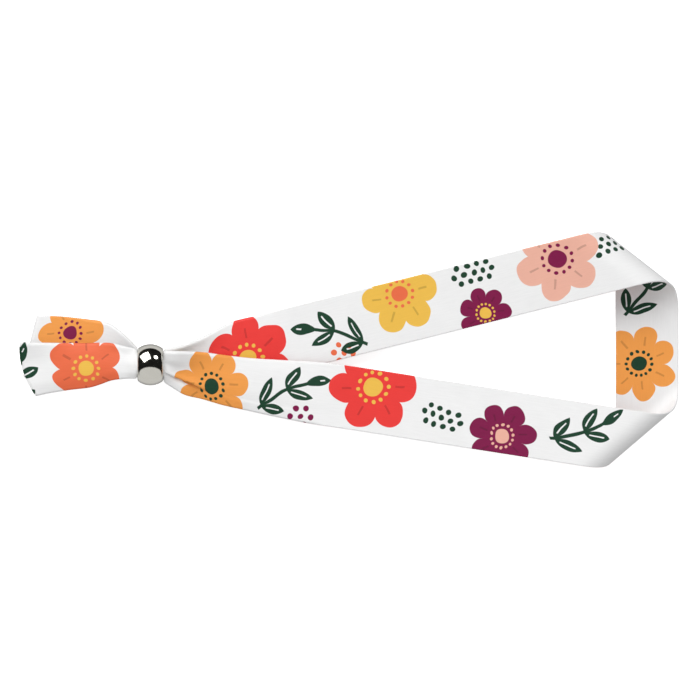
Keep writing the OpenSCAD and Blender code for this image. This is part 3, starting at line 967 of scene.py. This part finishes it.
def selvedge_turns(places, alongs, satin):
    normals = cloth_normals(places)
    paths = []
    for column, sign in ((0, -1), (-1, 1)):
        outward = unit(np.gradient(places, axis=1)[:, column]) * sign
        positions = places[:, column] + outward * SELVEDGE_BULGE * 0.5
        print_places = [(along, ACROSS[column], 0.0) for along in alongs[:, column]]
        paths.append((positions, print_places, normals[:, column]))
    obj = path_object("ribbon_selvedge_turns", paths)
    sizes = {
        "Pitch": TURN_PITCH * MM, "Turn Size": [size * MM for size in TURN_SIZE], "Seed": TURN_SEED,
        "Material": satin}
    return finished_by_nodes(obj, selvedge_tree(), sizes)


def cut_end_seals(places, alongs, satin):
    normals = cloth_normals(places)
    paths = []
    for row in (0, -1):
        print_places = [(along, across, 0.0) for along, across in zip(alongs[row], ACROSS)]
        paths.append((places[row], print_places, normals[row]))
    obj = path_object("ribbon_cut_ends", paths)
    sizes = {"Step": SEAL_STEP * MM, "Radius": SEAL_RADIUS * MM, "Material": satin}
    return finished_by_nodes(obj, seal_tree(), sizes)


def bead_tree():
    """A ball with a bore and flattened ends, as a section swept round the bore."""
    tree, n, given, result = new_group(
        "turned bead", "GeometryNodeTree",
        {"Geometry": GEOMETRY, "Ball Diameter": FLOAT, "Length": FLOAT, "Bore Diameter": FLOAT,
         "Rim Softness": FLOAT, "Sides": WHOLE, "Section Points": WHOLE, "Centre": VECTOR,
         "Material": MATERIAL},
        {"Geometry": GEOMETRY})
    ball = n.over(given["Ball Diameter"], 2.0)
    bore = n.over(given["Bore Diameter"], 2.0)
    middle = n.over(n.plus(ball, bore), 2.0)
    outline = circle(n, given["Section Points"], 1.0)
    # Each point of the section goes out from the middle of the wall until it meets the ball, an end or
    # the bore, and the meeting corners are eased. The least share keeps each division away from zero
    least_share = 0.02
    direction = n.add("GeometryNodeInputPosition").outputs[0]
    out, up, _ = n.split(direction)
    endward = n.math("MAXIMUM", n.math("ABSOLUTE", up), least_share)
    to_end = n.over(n.over(given["Length"], 2.0), endward)
    inward = n.math("MAXIMUM", n.times(out, -1.0), least_share)
    to_bore = n.over(n.minus(middle, bore), inward)
    aside = n.times(middle, up)
    squared = n.minus(n.times(ball, ball), n.times(aside, aside))
    to_ball = n.minus(n.math("SQRT", squared), n.times(middle, out))
    nearest = n.math("SMOOTH_MIN", to_end, to_bore, given["Rim Softness"])
    nearest = n.math("SMOOTH_MIN", nearest, to_ball, n.times(given["Rim Softness"], 0.5))
    met = n.scaled(direction, nearest)
    section = n.made("GeometryNodeSetPosition", {"Geometry": outline, "Position": met})
    path = circle(n, given["Sides"], middle)
    swept = n.made("GeometryNodeCurveToMesh", {"Curve": path, "Profile Curve": section})
    placing = {"Rotation": (0.0, math.pi / 2, 0.0), "Translation": given["Centre"]}
    laid = n.made("GeometryNodeTransform", {"Geometry": swept, **placing})
    finish(n, laid, given, result)
    return tree


def closure_bead(nickel):
    obj = new_object("closure_bead_turned", bpy.data.meshes.new("closure_bead_turned"))
    sizes = {
        "Ball Diameter": BEAD_DIAMETER * MM, "Length": BEAD_LENGTH * MM, "Bore Diameter": BORE_DIAMETER * MM,
        "Rim Softness": RIM_SOFTNESS * MM, "Sides": BEAD_SIDES, "Section Points": BEAD_SECTION_POINTS,
        "Centre": list(bead_centre), "Material": nickel}
    return finished_by_nodes(obj, bead_tree(), sizes)


def floor():
    half_side, drop = 4.0, 0.02 * MM
    corners = ((-1, -1), (1, -1), (1, 1), (-1, 1))
    mesh = bpy.data.meshes.new("floor")
    mesh.from_pydata([(x * half_side, y * half_side, -drop) for x, y in corners], [], [(0, 1, 2, 3)])
    mesh.materials.append(floor_material())
    obj = new_object("floor", mesh)
    # The room stands for the light that the floor throws back, which would flatten the folds otherwise
    obj.visible_diffuse = False
    obj.visible_glossy = False
    return obj


def camera():
    """Straight above the ribbon, a long way off, as the photograph was framed."""
    height, view_width, sensor = 3.0, 0.1694, 36.0
    middle_x, middle_y = 0.284 * MM, -0.05 * MM
    data = bpy.data.cameras.new("camera")
    data.sensor_width = sensor
    data.lens = sensor * height / view_width
    data.clip_end = 20.0
    obj = new_object("camera", data)
    obj.location = (middle_x, middle_y, height)
    bpy.context.scene.camera = obj


def area_light(name, away, azimuth, width, height, radiance, distance, shape="RECTANGLE"):
    """A soft light aimed at the bead, away degrees off the zenith. Its face shines evenly."""
    data = bpy.data.lights.new(name, "AREA")
    data.shape = shape
    data.size = width
    data.size_y = height
    face = width * height * (math.pi / 4 if shape == "ELLIPSE" else 1.0)
    data.energy = radiance * math.pi * face
    obj = new_object(name, data)
    polar, turn = math.radians(away), math.radians(azimuth)
    direction = Vector((math.sin(polar) * math.cos(turn), math.sin(polar) * math.sin(turn), math.cos(polar)))
    obj.location = bead_centre + direction * distance
    obj.rotation_euler = direction.to_track_quat("Z", "Y").to_euler()
    obj.visible_camera = False
    return obj


def lights():
    # The cloth is lit by the room and from overhead, and the bead doesn't mirror that light
    key = area_light(
        "overhead_light", away=41, azimuth=114, width=1.2, height=1.2, radiance=4.4, distance=1.7)
    key.visible_glossy = False
    # The bead mirrors two boxes, which light nothing else
    for name, away, azimuth, width, height, radiance, shape in (
            ("left_box", 54, 121, 0.79, 0.87, 6.0, "RECTANGLE"),
            ("right_box", 54, 53, 0.34, 0.34, 6.0, "ELLIPSE")):
        light = area_light(name, away, azimuth, width, height, radiance, 1.0, shape)
        light.visible_diffuse = False
    bpy.context.scene.world = studio_room()
    bpy.context.scene.view_settings.view_transform = "Standard"


def studio_room():
    """A pale tent over a pale floor, which the bead mirrors as a dim room with a bright floor."""
    fill_above, fill_below = 0.63, 0.11
    mirrored_room, mirrored_near_floor, mirrored_far_floor = 0.012, 0.38, 0.86
    # A round pale card in front, as the bead mirrors it
    card_away, card_reach = math.radians(69), math.radians(56)
    # The mirrored floor starts a little lower ahead and behind than beside the bead
    horizon_tilt, edge = 0.30, 0.02
    world = bpy.data.worlds.new("studio")
    world.use_nodes = True
    n = Nodes(world.node_tree)
    direction = n.add("ShaderNodeTexCoord").outputs["Generated"]
    _, sideways, up = n.split(direction)
    fill = n.span(n.fade(up, full=0.0, none=-0.8), fill_below, fill_above)
    over_floor = n.plus(up, n.times(n.math("ABSOLUTE", sideways), horizon_tilt))
    towards_card = n.vector("DOT_PRODUCT", direction, (0.0, -math.sin(card_away), math.cos(card_away)))
    on_card = n.fade(towards_card, math.cos(card_reach) + edge, math.cos(card_reach) - edge)
    on_floor = n.fade(over_floor, -edge, edge)
    floor_seen = n.span(n.fade(up, full=-0.5, none=-1.0), mirrored_near_floor, mirrored_far_floor)
    mirrored = n.times(n.math("MAXIMUM", on_floor, on_card), floor_seen)
    mirrored = n.math("MAXIMUM", mirrored, mirrored_room)
    is_mirrored = n.add("ShaderNodeLightPath").outputs["Is Glossy Ray"]
    strength = n.made("ShaderNodeMix", {"Factor": is_mirrored, "A": fill, "B": mirrored}, data_type="FLOAT")
    background = world.node_tree.nodes["Background"]
    background.inputs["Color"].default_value = (1.0, 1.0, 1.0, 1.0)
    n.feed(background.inputs["Strength"], strength)
    return world


def build():
    satin = ribbon_material()
    places, alongs = ribbon_grid()
    cloth = ribbon_cloth(places, alongs, satin)
    turns = selvedge_turns(places, alongs, satin)
    seals = cut_end_seals(places, alongs, satin)
    bead = closure_bead(bead_material())
    ground = floor()
    camera()
    lights()

    for piece in (cloth, turns, seals, bead):
        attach(piece, "root")
    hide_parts("ribbon_strap")
    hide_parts("closure_bead")


build()
